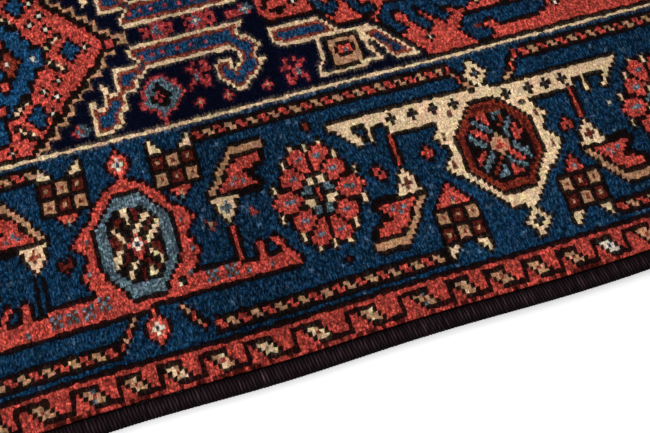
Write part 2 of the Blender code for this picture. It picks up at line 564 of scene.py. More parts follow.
def end_border(place):
    red_turtle(place)
    around_turtle(place, ((-14, 6), (14, 6)), ((-24, "o", "red"), (24, "g", "red")))
    for half in both_ways(place):
        ribbon(half, OUTER_RIBBON, 12, 73)
        ribbon(half, INNER_RIBBON, 22.5, 30.5)
        stamp(half, 50.5, 12.7, DAISY, "black")
        tails(half, OUTER_RIBBON, (-1, 12))
        rosette(half, CORNER_S)
    guard(place, -75, 75)


# ---- Field ----
FIELD = Place(MIDDLE_U, MIDDLE_V)  # the medallion's middle, for what is drawn whole
QUARTERS = [
    Place(MIDDLE_U * (1 - along), MIDDLE_V * (1 - out), along, out)
    for along in (1, -1)
    for out in (1, -1)
]
HALVES = [Place(MIDDLE_U * (1 - along), 0, along, 1) for along in (1, -1)]


def fourfold(quarter):
    """A closed outline from its quarter, which runs from one axis to the other."""
    half = mirrored(quarter)
    return half + [(-s, -t) for s, t in half]


def medallion():
    """The stepped hexagon in the middle of the field, ring within ring."""
    edge = stairs((57, 1.4), (29.5, 26.5), 10)
    fill(FIELD, "red", fourfold(edge), edge=None, rims=("tan", "black", "black"))
    blue = [(35, 0), *stairs((35, 2.6), (22.5, 16.5), 5), (22.5, 19.4), (0, 19.4)]
    fill(FIELD, "blue", fourfold(blue))
    heart = [(21, 0), *stairs((21, 1.5), (9, 14), 5), (0, 14)]
    fill(FIELD, "red", fourfold(heart), rims=("ivory", "black"))
    rosette(FIELD, 0.5, 0)


def medallion_flowers(place):
    fill(place, "rust", diamond(-69, MIDDLE_V, 3.2, 3.6))
    strew(place, ("w",), (-69.5, MIDDLE_V), (-62.5, MIDDLE_V))
    strew(place, EYE, (-84.5, -40.8), (-78.5, -40.8))
    for u, v, half_u, half_v in ((-52.7, MIDDLE_V, 2.3, 3), (-64.3, -40.3, 2.6, 2.9)):
        for flip in (-1, 1):
            claw = [(u - 2, v + 4.6 * flip), (u - 4.4, v + 3.4 * flip), (u - 6, v + 1.2 * flip)]
            stroke(place, "black", 2, claw, edge=None)
            for a, b in ((-2.4, 4.4), (-4.2, 3.2), (-5.6, 1.6)):
                stamp(place, u + a, v + b * flip, ("i",))
        fill(place, "blue", diamond(u, v, half_u, half_v))
        stamp(place, math.floor(u + 4) + 0.5, v, EYE)
    strew(place, EYE, (-61.5, -46.3), (-57.5, -48.3), (-58.5, -44.3), (-72.5, -33.3))
    stamp(place, -42.5, MIDDLE_V, ("pp", "rp"), "black")
    fill(place, "red", box(-74, -45, -71.5, -42.5), box(-72, -50.5, -70, -49))


def blue_shape(place, outline):
    """A blue shape inside an ivory line and a rust one."""
    fill(place, "blue", outline, edge=None, rims=("ivory", "rust"))


ARM = (
    (-39, -52), (-36, -52.4), (-5, -53), (-5.8, -51.4), (-7.4, -50), (-5.6, -48.5), (-2.2, -45.5),
    (-3.6, -44), (-3.9, -42.4), (-2, -41), (-4, -38.8), (-7, -36.8), (-10, -34.8), (-12.4, -35.6),
    (-14.9, -38), (-16.4, -40.5), (-15.9, -42.5), (-13.6, -44), (-11, -44.3), (-11.4, -41.8),
    (-10.3, -40.6), (-9.2, -41.6), (-8.6, -43.4), (-10, -45.4), (-34, -45.4), (-35, -44.4),
    (-36.9, -43.3), (-37.6, -41), (-40.5, -40.7), (-41, -36.7), (-43.2, -36.5), (-43.5, -33.5),
    (-46.5, -32.3), (-50.8, -32.3), (-50.8, -41), (-49.6, -41.4), (-47.6, -37.4), (-46.9, -44.6),
    (-45.2, -44.2), (-44.3, -41), (-42.9, -41.8), (-42.7, -48), (-36.2, -48.2), (-36.9, -49.3),
)


def arm(place):
    """The long blue arm beside the medallion, which curls at its end."""
    blue_shape(place, ARM)
    for u in (-34.5, -31.5, -28.5, -24.5, -20.5, -16.5):
        stamp(place, u, -49.3, ("p",))


def navy_flowers(place):
    leaf = [
        (-32, -44.4), (-28, -42), (-24.8, -38), (-28, -35), (-31.3, -33), (-32.5, -31.3),
        (-34, -34), (-38, -36.5), (-37, -39.5), (-35.5, -42),
    ]
    fill(place, "grey", leaf, edge=None, rims=("pink",))
    heart = [(-32.3, -41.6), (-29, -38.3), (-31, -35.4), (-34.6, -37.2), (-34.4, -39.5)]
    fill(place, "black", heart, edge=None)
    stamp(place, -32.5, -38.8, ("gp.", "p.p", ".p."))
    stamp(place, -20.5, -41.8, CRAB)
    stamp(place.moved(9, flip_s=True), 4.5, -36.8, CRAB)
    strew(place, SPRIG, (-23, -34.3), (-15, -34.3), (-4, -34.3), (-56, -34.3))
    strew(place, (".g.", "gpg", ".g."), (-53.5, -34.3), (-54.5, -34.3))
    stamp(place, -28.5, MIDDLE_V, LEAF)
    stamp(place, -16.5, MIDDLE_V, DAISY)
    stamp(place, -7.5, MIDDLE_V, ("pp.p", ".ppp"))
    stamp(place, -38.5, MIDDLE_V, ("t.t", "ttt", "t.t"))
    stamp(place, -3.5, MIDDLE_V, (".gp.", "gwgg", "pgg."))


def red_ground(place):
    """The red end of the field, past the navy, with the ivory shapes along its edge."""
    fill(place, "red", [
        (0.3, MIDDLE_V - 1), (0.5, -52), (1.5, -49.8), (15.8, -49.8), (20.5, -44.6), (30, -44.6),
        (40.5, -34), (41.5, -30.8), (LAST_U - BORDER, -30.8), (LAST_U - BORDER, MIDDLE_V - 1),
    ], edge=None, rims=("black",))
    bars = box(0.3, MIDDLE_V - 1.2, 121, -52.6), box(118, MIDDLE_V - 1, 121, -32.8)
    fill(place, "red", *bars, edge=None)
    blue_shape(place, [(1.3, -49.3), (15.5, -49.3), (20.6, -43), (4, -43), (1.3, -45)])
    stroke(place, "ivory", 1.1, [(4, -43.3), (28.7, -43.3)], edge=None)
    blue_shape(place, [(24.6, -42.8), (30.4, -43), (39.8, -33), (33.8, -32.8)])


def boxed_flower(place):
    fill(place, "tan", box(16, -41.8, 24.4, -35))
    stamp(place, 20, -38.8, (".kkkk.", "krrrrk", "krrgrk", ".kkkk."))
    stroke(place, "ivory", 1.1, [
        (13.5, -42), (13.5, -37.5), (11.5, -35), (11.5, -33.4), (20, -33.4), (29, -34.3),
        (26.3, -38.5), (25.8, -41),
    ], edge=None)


def red_flowers(place):
    stroke(place, "black", 1.2, [(2, -56), (3.5, -53.6), (6.3, -52.6), (8.2, -54.3)], edge=None)
    for u, v in ((16, -54), (26, -51.3)):
        stroke(place, "blue", 1.8, [(u, v), (u + 1.6, v + 3), (u + 4, v + 4), (u + 5.5, v + 3)])
    stroke(
        place, "blue", 2.2, [(37.5, -40.5), (33.8, -44), (36, -46.5), (46, -46.5), (58, -43.3)],
        [(39.8, -46), (44.8, -40)], [(45, -46), (50.5, -41)],
    )
    stroke(place, "blue", 2.7, [
        (60.5, -33.8), (57.5, -34.6), (55.6, -36.3), (56.5, -38.3), (62, -38.7), (78.5, -38.2),
    ], [(66, -37.3), (77, -37)])
    stamp(place, 58.5, -36.3, ("oo",))
    strew(
        place, EYE, (44.5, -36.3), (83.5, -37.3), (100.5, -36.3), (10.5, -56.3), (70.5, -50.3),
        (84.5, -46.3),
    )


def half_medallion(place):
    """The field ends in the half of one more medallion."""
    end = place.moved(LAST_U - BORDER, MIDDLE_V)
    for reach, rise, colour, rims in (
        (24, 18, "navy", ("ivory", "black")), (16, 12, "red", ("tan",)), (8, 6, "blue", ()),
    ):
        lower = stairs((-reach, 1.5), (-reach * 0.3, rise), 6) + [(4, rise)]
        fill(end, colour, lower + [(s, -t) for s, t in reversed(lower)], rims=rims)
    stamp(end, -3.5, 0, ("w.w", ".w.", "w.w"))


def small_medallion(place):
    """A stepped diamond with arms, in the red between the big medallion and the half one."""
    middle = place.moved(70, MIDDLE_V)
    for reach, colour, rims in ((13, "blue", ("ivory",)), (7.5, "rust", ("black",))):
        fill(middle, colour, fourfold(stairs((reach, 1.5), (1.5, reach), 6)), rims=rims)
    stamp(middle, 0, 0, ("w.w", ".r.", "w.w"))
    for side in (-1, 1):
        for out in (-1, 1):
            stamp(middle, side * 9, out * 10.5, TUFT, "black", r="t")
            stamp(middle, side * 4.5, out * 4, ("w",))
        stroke(middle, "blue", 1.6, [(side * 18, -5), (side * 14.04, 0), (side * 18, 5)])


def field():
    for quarter in QUARTERS:
        red_ground(quarter)
        boxed_flower(quarter)
        arm(quarter)
        navy_flowers(quarter)
        red_flowers(quarter)
    medallion()
    for quarter in QUARTERS:
        medallion_flowers(quarter)
    for half in HALVES:
        half_medallion(half)
        small_medallion(half)


field()
stripes()
for side in SIDES:
    side_border(side)
for end in ENDS:
    end_border(end)

# ---- Pile ----
random = np.random.default_rng(SEED)
STRIPS = {
    "pile_near": (COLUMNS - BORDER, COLUMNS),
    "pile_field": (BORDER, COLUMNS - BORDER),
    "pile_far": (0, BORDER),
}
EDGE_WAVES = ((0.0011, 0.29, 0.198), (0.0009, 1.1, 0.325))  # height, length and start
PILE_HALF_WIDTH = COLUMNS * KNOT_ACROSS / 2
GROOVE = 0.0005  # between neighbouring knots
ROUNDED = 3  # knots over which the pile rounds off at its edges
WORN_BLACK = 0.0006  # how much lower the brittle black wool has worn
UNEVEN = 0.00016  # of the clipped pile
STRAY = 0.16  # how far a knot's corner strays, in knots
PAINTED_GROOVE_SHADE = 0.85  # painted shade at each knot's corners, in the grooves; the back gets as much, as painted shade under the rug
PAINTED_WALL_SHADES = (0.8, 0.4)  # painted shade on the pile's side walls, at the top and, darker, at the floor
MINGLED = 0.6  # how much of its neighbours' wool shows at a knot's corners at most
BLACK_MINGLED = 0.45  # the share of that at the corners of a black knot
PINCH = 0.18  # how far a black knot spreads towards an ivory one, in knots
BANDS = ((23, 0.07), (5, 0.05))  # rows from one change of a dye lot to the next, and its swing
BLUE_SWING = 1.8  # how much more the blue changes
KNOT_SWING, HUE_SWING = 0.12, 0.05  # from knot to knot
DARK_BLUE = 0.56  # a darker lot, in the border and at the field's ends
PALE_BLUE_ROWS = 108  # how far the paler lot reaches from the rug's middle
BORDER_RED, GUARD_RED = 0.93, 0.8  # duller lots of red
WORN, WORN_SHARE, WORN_BLUE = 0.02, 0.3, (96, 122, 150)  # some blue knots are paler
CAUGHT, CAUGHT_SHADE = 0.4, 0.15  # outermost knots darkened by the overcasting


def linear(rgb):
    """Colours from 0 to 255, as light."""
    share = np.array(rgb, float) / 255
    return np.where(share <= 0.04045, share / 12.92, ((share + 0.055) / 1.055) ** 2.4)


def edge_shift(x):
    """How far the near edge bows out at x."""
    return sum(h * np.sin(math.tau * (x - start) / length) for h, length, start in EDGE_WAVES)


def rug_y(x, column):
    """The place across the rug of a line between columns, which follows both long edges."""
    far = PILE_HALF_WIDTH + edge_shift(-x)
    near = -PILE_HALF_WIDTH - edge_shift(x)
    return far + (near - far) * column / COLUMNS


def smooth_noise(count, spacing):
    """Noise along a line, smooth over a spacing."""
    knots = random.normal(0, 1, count // spacing + 3)
    return np.interp(np.arange(count) / spacing, np.arange(len(knots)), knots)


def knot_colours():
    """Each knot's own colour: dye lots run in bands, and each tuft differs a little."""
    bands = sum((swing * smooth_noise(ROWS, rows) for rows, swing in BANDS), 1)[:, None]
    blue = chart == NUMBER["blue"]
    share = np.where(blue, BLUE_SWING * (bands - 1) + 1, bands)
    from_middle = np.abs(np.arange(ROWS) - ROWS / 2)[:, None]
    dark = (edge_distance() < BORDER) | (from_middle > PALE_BLUE_ROWS)
    share = np.where(blue & dark, DARK_BLUE * share, share)
    for width, lot in ((BORDER, BORDER_RED), (GUARD, GUARD_RED / BORDER_RED)):
        share = np.where((chart == NUMBER["red"]) & (edge_distance() < width), lot * share, share)
    share = share * np.exp(random.normal(0, KNOT_SWING, chart.shape))
    hues = 1 + random.normal(0, HUE_SWING, chart.shape + (3,))
    colours = linear(PALETTE)[chart] * share[..., None] * hues
    worn = (random.random(chart.shape) < WORN) & blue
    colours[worn] = colours[worn] * (1 - WORN_SHARE) + linear(WORN_BLUE) * WORN_SHARE
    caught = random.random((ROWS, 2)) < CAUGHT
    colours[:, [0, -1]] *= np.where(caught, CAUGHT_SHADE, 1)[..., None]
    return np.concatenate([np.clip(colours, 0.001, 1), np.array(LIVELY)[chart][..., None]], 2)


def linked(name, data):
    obj = bpy.data.objects.new(name, data)
    bpy.context.scene.collection.objects.link(obj)
    return obj


def joined(parts, kind=np.float32):
    return np.concatenate([part.ravel() for part in parts]).astype(kind)


def mesh_object(name, wool, places, faces, colours=(), maps=()):
    """A mesh from lists of arrays: its corners' places, its faces, and their colours and map."""
    mesh = bpy.data.meshes.new(name)
    places, corners = joined(places), joined(faces, np.int32)
    sizes = np.concatenate([np.full(len(part), part.shape[1]) for part in faces])
    mesh.vertices.add(len(places) // 3)
    mesh.vertices.foreach_set("co", places)
    mesh.loops.add(len(corners))
    mesh.loops.foreach_set("vertex_index", corners)
    mesh.polygons.add(len(sizes))
    mesh.polygons.foreach_set("loop_start", (np.cumsum(sizes) - sizes).astype(np.int32))
    mesh.update(calc_edges=True)
    mesh.validate()
    if colours:
        # The corners' colours: the wool's own, with the painted shade and highlights that the pieces
        # carry.
        layer = mesh.color_attributes.new("wool", "FLOAT_COLOR", "CORNER")
        layer.data.foreach_set("color", joined(colours))
    if maps:
        layer = mesh.uv_layers.new(name="OFBake")
        layer.uv.foreach_set("vector", joined(maps))
    mesh.shade_smooth()
    mesh.materials.append(wool)
    return linked(name, mesh)


def mean_of_four(values):
    """The mean of each four values that meet in a grid."""
    return (values[1:, 1:] + values[:-1, 1:] + values[1:, :-1] + values[:-1, :-1]) / 4


def around_corners(values):
    """The mean of the values of the four knots round each corner."""
    return mean_of_four(np.pad(values, ((1, 1), (1, 1), (0, 0)), mode="edge"))


def painted_shade(share):
    """A factor for a colour and its liveliness that paints shade: it darkens the colour alone."""
    return np.array([share, share, share, 1])


def pinched():
    """How far each corner between knots moves towards the knots that stand narrower."""
    wide = np.pad(np.array(SLENDER)[chart], 1, mode="edge")
    a, b, c, d = wide[:-1, :-1], wide[:-1, 1:], wide[1:, :-1], wide[1:, 1:]
    return PINCH * (c + d - a - b) / 2, PINCH * (b + d - a - c) / 2


def pile_grid():
    """The places of the corners between knots, and of the knots' tips, over the whole rug."""
    line, column = np.mgrid[:ROWS + 1, :COLUMNS + 1].astype(float)
    inner = (line > 0) & (line < ROWS) & (column > 0) & (column < COLUMNS)
    pinch_line, pinch_column = pinched()
    line += inner * (pinch_line + random.normal(0, STRAY, line.shape))
    column += inner * (pinch_column + random.normal(0, STRAY, line.shape))
    x = PILE_LOW.x + line * KNOT_ALONG
    edge = np.minimum(np.minimum(column, COLUMNS - column), ROUNDED) / ROUNDED
    black = (chart == NUMBER["black"]).astype(float)[..., None]
    z = PILE_HIGH.z - GROOVE * (2 - edge) + random.normal(0, UNEVEN, line.shape)
    corners = np.stack([x, rug_y(x, column), z], -1)
    tips = mean_of_four(corners)
    tips[..., 2:] += GROOVE - WORN_BLACK * black + random.normal(0, UNEVEN, black.shape)
    corners[..., 2:] -= WORN_BLACK * around_corners(black)
    return corners, tips


UV_ROWS = 137  # rows of knots in one length of the map
UV_LENGTH, UV_WIDTH = 0.466, 0.232  # of one length of the map, a square of side 1
UV_LEFT, UV_BELOW, UV_FLANGE = 0.017, 0.009, 0.005


def map_place(row, line, column, columns, back):
    """Where a corner of a knot lies on the strip's map, which is folded into lengths."""
    length = row // UV_ROWS
    u = 0.5 * (length % 2) + UV_LEFT + (line - length * UV_ROWS) * UV_LENGTH / UV_ROWS
    v = 0.25 * (length // 2 + 2 * back) + UV_BELOW + column * UV_WIDTH / columns
    return np.stack(np.broadcast_arrays(u, v), -1)


def pile_strip(name, wool, first, last, corners, tips, colours):
    """A closed strip of the pile: four small faces for each knot, and its back."""
    columns = last - first
    top, middle = corners[:, first:last + 1], tips[:, first:last]
    shape = top.shape[:2]
    number = np.arange(shape[0] * shape[1]).reshape(shape)
    tip = 2 * number.size + np.arange(ROWS * columns).reshape(ROWS, columns)
    row, column = np.mgrid[:ROWS, :columns]
    knot = colours[:, first:last]
    around = around_corners(colours)[:, first:last + 1]
    round_a_knot = ((0, 0), (0, 1), (1, 1), (1, 0))
    mingling = np.where(chart[:, first:last, None] == NUMBER["black"], BLACK_MINGLED, 1)
    strays = random.uniform(0, MINGLED, (2, 2, ROWS, columns, 1)) * mingling
    faces, paints, maps = [], [], []

    def add(*corners):
        """Faces from corners, each given as its numbers, its colours and its places on the map."""
        for kept, parts, size in zip((faces, paints, maps), zip(*corners), (1, 4, 2)):
            kept.append(np.stack([part.reshape(-1, size) for part in parts], 1))

    def corner(i, j, back=0):
        """One corner of each knot's top, in a groove, or of its back: both carry painted shade."""
        mingled = 0 if back else (around[row + i, column + j] - knot) * strays[i, j]
        numbers = number[row + i, column + j] + back * number.size
        spots = map_place(row, row + i, column + j, columns, back)
        return numbers, (knot + mingled) * painted_shade(PAINTED_GROOVE_SHADE), spots

    def wall(rows, cols, start, end, away):
        """A wall from the top's rim down to the back's, under the knots that it passes, in their
        colours with painted shade that deepens towards the floor.
        """
        upper, lower = (knot[rows, cols] * painted_shade(share) for share in PAINTED_WALL_SHADES)
        a, b = number[end], number[start]
        a_spot, b_spot = (map_place(rows, *line, columns, 0) for line in (end, start))
        below = (b + number.size, lower, b_spot + away), (a + number.size, lower, a_spot + away)
        add((a, upper, a_spot), (b, upper, b_spot), *below)

    # The tip keeps the knot's colour, lighter than its corners with their painted shade.
    peak = tip, knot, map_place(row, row + 0.5, column + 0.5, columns, 0)
    for a, b in zip(round_a_knot, round_a_knot[1:] + round_a_knot[:1]):
        add(corner(*a), corner(*b), peak)
    add(*[corner(i, j, 1) for i, j in round_a_knot[::-1]])
    rows, cols = np.arange(ROWS), np.arange(columns)
    wall(rows, 0, (rows, 0), (rows + 1, 0), (0, -UV_FLANGE))
    wall(rows, columns - 1, (rows + 1, columns), (rows, columns), (0, UV_FLANGE))
    wall(0, cols, (0, cols + 1), (0, cols), (-UV_FLANGE, 0))
    wall(ROWS - 1, cols, (ROWS, cols), (ROWS, cols + 1), (UV_FLANGE, 0))
    return mesh_object(name, wool, [top, top * (1, 1, 0), middle], faces, paints, maps)


def make_pile(wool):
    grid = (*pile_grid(), knot_colours())
    return [pile_strip(name, wool, *ends, *grid) for name, ends in STRIPS.items()]


# ---- Edge cords ----
CORD_WIDTH, CORD_HEIGHT, CORD_WAIST = 0.0173, 0.0080, 0.0070
CORD_GAP = 0.0003
CORD_SIDES = 16
CORD_SWELL, SWELL_STEPS = 0.02, 60  # how unevenly thick it is, and over how many steps
WAIST_REACH = 0.3  # of the groove between the lobes, as a share of the cord's half width
WRAP_PITCH = 0.0031  # from one turn of the overcasting to the next
WRAP_STEPS = 4
WRAP_DEPTH, WRAP_MIDDLE, WRAP_UNEVEN = 0.0004, 0.7, 0.15
WRAP_SLANT = 0.6  # turns that a wrap moves along while it crosses the cord
# The overcasting's dark wool, with painted shade in the grooves between wraps and a painted highlight
# on their ridges.
CORD_GROOVE_SHADE, CORD_RIDGE_HIGHLIGHT = (8, 5, 6), (44, 31, 35)
SIDE_HIGHLIGHT, HIGHLIGHT_REACH = 0.15, 0.5  # the painted highlight on the ridges is strongest along the cord's middle


def round_faces(rings, sides):
    """The faces between rings of corners, and the caps at both ends."""
    ring = np.arange(sides)
    start = np.arange(rings - 1)[:, None] * sides
    beside = start + (ring + 1) % sides
    faces = np.stack([start + ring, beside, beside + sides, start + ring + sides], -1)
    return faces.reshape(-1, 4), np.stack([ring[::-1], (rings - 1) * sides + ring])


def edge_cord(name, side, wool):
    """The thick edge: two bundles of warps side by side, overcast with dark wool, with painted
    highlights on the wraps' ridges and painted shade between them.
    """
    low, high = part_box(name)
    steps = int((high.x - low.x) / WRAP_PITCH * WRAP_STEPS)
    x = np.linspace(low.x, high.x, steps + 1)[:, None]
    turn = np.arange(CORD_SIDES) * math.tau / CORD_SIDES
    across, up = np.cos(turn), np.sin(turn)
    wrap = np.abs(np.sin(math.pi * (x / WRAP_PITCH + WRAP_SLANT * across)))
    wrap = wrap + WRAP_UNEVEN * random.normal(0, 1, (steps + 1, 1))
    swell = 1 + CORD_SWELL * smooth_noise(steps + 1, SWELL_STEPS)[:, None]
    proud = WRAP_DEPTH * (wrap - WRAP_MIDDLE)
    waist = (CORD_HEIGHT - CORD_WAIST) * np.exp(-(across / WAIST_REACH) ** 2)
    half_width = CORD_WIDTH / 2 * swell + proud
    half_height = (CORD_HEIGHT - waist) / 2 * swell + proud
    y = half_width * np.sign(across) * np.abs(across) ** 0.85
    z = np.maximum(CORD_HEIGHT / 2 + half_height * np.sign(up) * np.abs(up) ** 0.7, 0)
    edge = PILE_HALF_WIDTH + edge_shift(x * -side) + CORD_GAP + CORD_WIDTH / 2
    places = np.stack([x + 0 * y, side * edge + y, z], -1)
    faces, caps = round_faces(steps + 1, CORD_SIDES)
    # Painted highlight on each wrap's ridge, strongest along the cord's middle, and painted shade in
    # its grooves.
    highlight_across = SIDE_HIGHLIGHT + (1 - SIDE_HIGHLIGHT) * np.exp(-(across / HIGHLIGHT_REACH) ** 2)
    ridge_highlight = (np.clip(wrap, 0, 1.4) ** 4 * highlight_across)[..., None]
    highlight_paint = linear(CORD_GROOVE_SHADE) + (linear(CORD_RIDGE_HIGHLIGHT) - linear(CORD_GROOVE_SHADE)) * ridge_highlight
    highlight_paint = np.concatenate([highlight_paint, np.ones_like(ridge_highlight)], 2).reshape(-1, 4)
    paints = [highlight_paint[faces], highlight_paint[caps]]
    cord = mesh_object(name + "_overcast", wool, [places], [faces, caps], paints)
    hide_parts(name)
    return cord


# ---- End bands ----
WARPS = 2 * COLUMNS
WEFTS = 11
BAND_WAVE = 0.0005  # how far the weft rises over each warp
UNDER = -0.2  # the weft's height under a warp, as a share of that
BAND_UNEVEN, WARP_UNEVEN = 0.00005, 0.00008


def end_band(name, wool):
    """The flat-woven band past the pile: wefts that go over one warp and under the next."""
    low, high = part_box(name)
    weft, warp = np.mgrid[:2 * WEFTS + 1, :2 * WARPS + 1]
    x = low.x + (high.x - low.x) * weft / (2 * WEFTS)
    y = low.y + (high.y - low.y) * warp / (2 * WARPS)
    over = np.where((weft // 2 + warp // 2) % 2 == 0, 1, UNDER) * (weft % 2) * (warp % 2)
    z = high.z - BAND_WAVE * (1 - over) + random.normal(0, BAND_UNEVEN, over.shape)
    x = x + random.normal(0, WARP_UNEVEN, x.shape)
    top = np.stack([x, y, z], -1)
    number = np.arange(weft.size).reshape(weft.shape)
    square = number[:-1, :-1], number[1:, :-1], number[1:, 1:], number[:-1, 1:]
    faces = [np.stack(square, -1), np.stack(square[::-1], -1) + weft.size]
    faces = [part.reshape(-1, 4) for part in faces]
    for rim in (number[:, 0], number[-1], number[::-1, -1], number[0, ::-1]):
        faces.append(np.stack([rim[1:], rim[:-1], rim[:-1] + weft.size, rim[1:] + weft.size], 1))
    band = mesh_object(name + "_weave", wool, [top, top * (1, 1, 0)], faces)
    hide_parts(name)
    return band


# ---- Fringes ----
TASSELS = 55
TASSEL_UNEVEN = 0.162  # how much shorter the shortest tassel is
TASSEL_LEAN, TASSEL_LEAN_STEP = 0.0012, 1.9
TASSEL_SPREAD = 0.42  # from its middle to its outermost yarn, as a share of the pitch
GOLDEN = 0.618  # spreads the tassels' lengths evenly
TIP_CLEAR = 0.001  # from the longest tassel's tip to the end of the CAD fringe
YARNS = 6
YARN_RADIUS, YARN_SWELL, YARN_TAPER = 0.00072, 0.12, 0.35
YARN_SIDES = 6
YARN_STEPS = 16
YARN_UNEVEN = 0.09  # how much shorter than its tassel a yarn is at most
YARN_CURL, CURL_TURN, SWELL_TURN = 0.0005, 9, 40  # the turns are in radians
LAYER, UPPER_LAYER = 0.00085, 0.0009  # of the lower yarns, and of the upper ones over them
KNOT_FROM_ROOT = 0.0075
KNOT_RADIUS, KNOT_REACH, KNOT_HEIGHT, KNOT_STEPS = 0.0015, 0.0021, 0.0016, 7
NARROWED = 0.25  # a tassel's width in its knot, as a share of that at the root


def tube(path, radii):
    """Rings round a path that runs mostly along X, and the faces between them."""
    turn = np.arange(YARN_SIDES) * math.tau / YARN_SIDES
    circle = np.stack([0 * turn, np.cos(turn), np.sin(turn)], 1)
    places = path[:, None, :] + radii[:, None, None] * circle[None]
    return places.reshape(-1, 3), *round_faces(len(path), YARN_SIDES)


def tassel_parts(low, high, side, turn):
    """The yarns of one tassel and the knot that holds them."""
    pitch = (high.y - low.y) / TASSELS
    middle = low.y + pitch * (turn + 0.5)
    root = low.x if side > 0 else high.x
    reach = (high.x - low.x) * (1 - TASSEL_UNEVEN * (turn * GOLDEN % 1)) - TIP_CLEAR
    lean = TASSEL_LEAN * math.sin(turn * TASSEL_LEAN_STEP)
    share = np.linspace(0, 1, YARN_STEPS)
    knot = KNOT_FROM_ROOT / reach
    widening = NARROWED + (1 - NARROWED) * (np.maximum(share, knot) - knot) ** 0.8
    width = np.where(share < knot, 1 - (1 - NARROWED) * share / knot, widening)
    for yarn in range(YARNS):
        spread = (yarn - (YARNS - 1) / 2) / (YARNS / 2)
        y = middle + spread * pitch * TASSEL_SPREAD * width + lean * share
        y = y + YARN_CURL * np.sin(share * CURL_TURN + random.uniform(0, math.tau)) * share
        layer = LAYER + UPPER_LAYER * (yarn % 2) * np.exp(-((share - knot) / 0.25) ** 2)
        x = root + side * reach * (1 - YARN_UNEVEN * random.random()) * share
        radii = YARN_RADIUS * (1 + YARN_SWELL * np.sin(share * SWELL_TURN + yarn))
        radii = radii * (1 - YARN_TAPER * share ** 4)
        yield tube(np.stack([x, y, np.maximum(layer, radii)], 1), radii)
    share = np.linspace(-1, 1, KNOT_STEPS)
    x = root + side * (KNOT_FROM_ROOT + KNOT_REACH * share)
    path = np.stack([x, middle + 0 * share, KNOT_HEIGHT + 0 * share], 1)
    yield tube(path, KNOT_RADIUS * np.sqrt(1.02 - share ** 2))


def fringe(name, side, wool):
    low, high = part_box(name)
    places, faces, caps, count = [], [], [], 0
    for turn in range(TASSELS):
        for place, face, cap in tassel_parts(low, high, side, turn):
            places.append(place)
            faces.append(face[:, ::side] + count)
            caps.append(cap[:, ::side] + count)
            count += len(place)
    comb = mesh_object(name + "_yarns", wool, places, faces + caps)
    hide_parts(name)
    return comb


# ---- Materials ----
class Shading:
    """A material in the making. A value that its methods take is a number or another's output."""

    def __init__(self, name, roughness=1, specular=0.02):
        self.material = bpy.data.materials.new(name)
        self.material.use_nodes = True
        self.tree = self.material.node_tree
        self.surface({"Roughness": roughness, "Specular IOR Level": specular})

    def feed(self, node, values):
        """Sets a node's inputs, and gives its outputs."""
        for name, value in values.items():
            if isinstance(value, bpy.types.NodeSocket):
                self.tree.links.new(value, node.inputs[name])
            else:
                node.inputs[name].default_value = value
        return node.outputs

    def surface(self, values):
        """Sets the surface's own inputs, and gives the material."""
        self.feed(self.tree.nodes["Principled BSDF"], values)
        return self.material

    def step(self, kind, inputs, **settings):
        """Adds a node with these inputs and settings, and gives its outputs."""
        node = self.tree.nodes.new("ShaderNode" + kind)
        for name, value in settings.items():
            setattr(node, name, value)
        return self.feed(node, inputs)

    def texture(self, kind, stretch, inputs, **settings):
        """A texture on the object itself, stretched along its axes."""
        spot = self.step("TexCoord", {})["Object"]
        spot = self.step("Mapping", {"Vector": spot, "Scale": stretch})["Vector"]
        return self.step(kind, {"Vector": spot, **inputs}, **settings)

    def noise(self, scale, detail, stretch=(1, 1, 1)):
        return self.texture("TexNoise", stretch, {"Scale": scale, "Detail": detail})["Fac"]

    def spread(self, value, low, high, start=0.3, end=0.7):
        """A value from start to end spread out from low to high."""
        limits = {"From Min": start, "From Max": end, "To Min": low, "To Max": high}
        return self.step("MapRange", {"Value": value, **limits})["Result"]

    def worked(self, operation, first, second):
        return self.step("Math", {0: first, 1: second}, operation=operation)["Value"]

    def swing(self, value, times):
        """A factor that goes from 1 / times to times with the value."""
        return self.worked("POWER", times, self.spread(value, -1, 1))

    def scaled(self, colour, *factors):
        """A colour made lighter or darker by each factor."""
        for factor in factors:
            inputs = {0: colour, "Scale": factor}
            colour = self.step("VectorMath", inputs, operation="SCALE")["Vector"]
        return colour

    def finished(self, colour, heights):
        """The material with this colour, and with bumps of these heights and depths in metres."""
        bump = {}
        for height, depth in heights:
            inputs = {"Height": height, "Distance": depth, "Strength": 1, **bump}
            bump = {"Normal": self.step("Bump", inputs)["Normal"]}
        return self.surface({"Base Color": colour, **bump})


GLINT = (0.030, 0.050, 0.066)  # the painted highlight's colour, as light
GLINTING = (1.35, 1.5)  # how lively a colour must be to get the painted highlight
TUFT_SWING, WEAR_SWING, LOT_SWING = 1.75, 1.1, 1.12
TUFT_SCALE, TUFT_STRETCH, TUFT_DEPTH = 540, (1.0, 0.86, 1), 0.0007
ROW_SCALE, ROW_STRETCH, ROW_DEPTH = 700, (1.0, 0.3, 0.3), 0.0005
FIBRE_SCALE, FIBRE_STRETCH, FIBRE_DEPTH = 1700, (0.6, 1.0, 1), 0.0003
WEAR_SCALE, LOT_SCALE = 14, 30


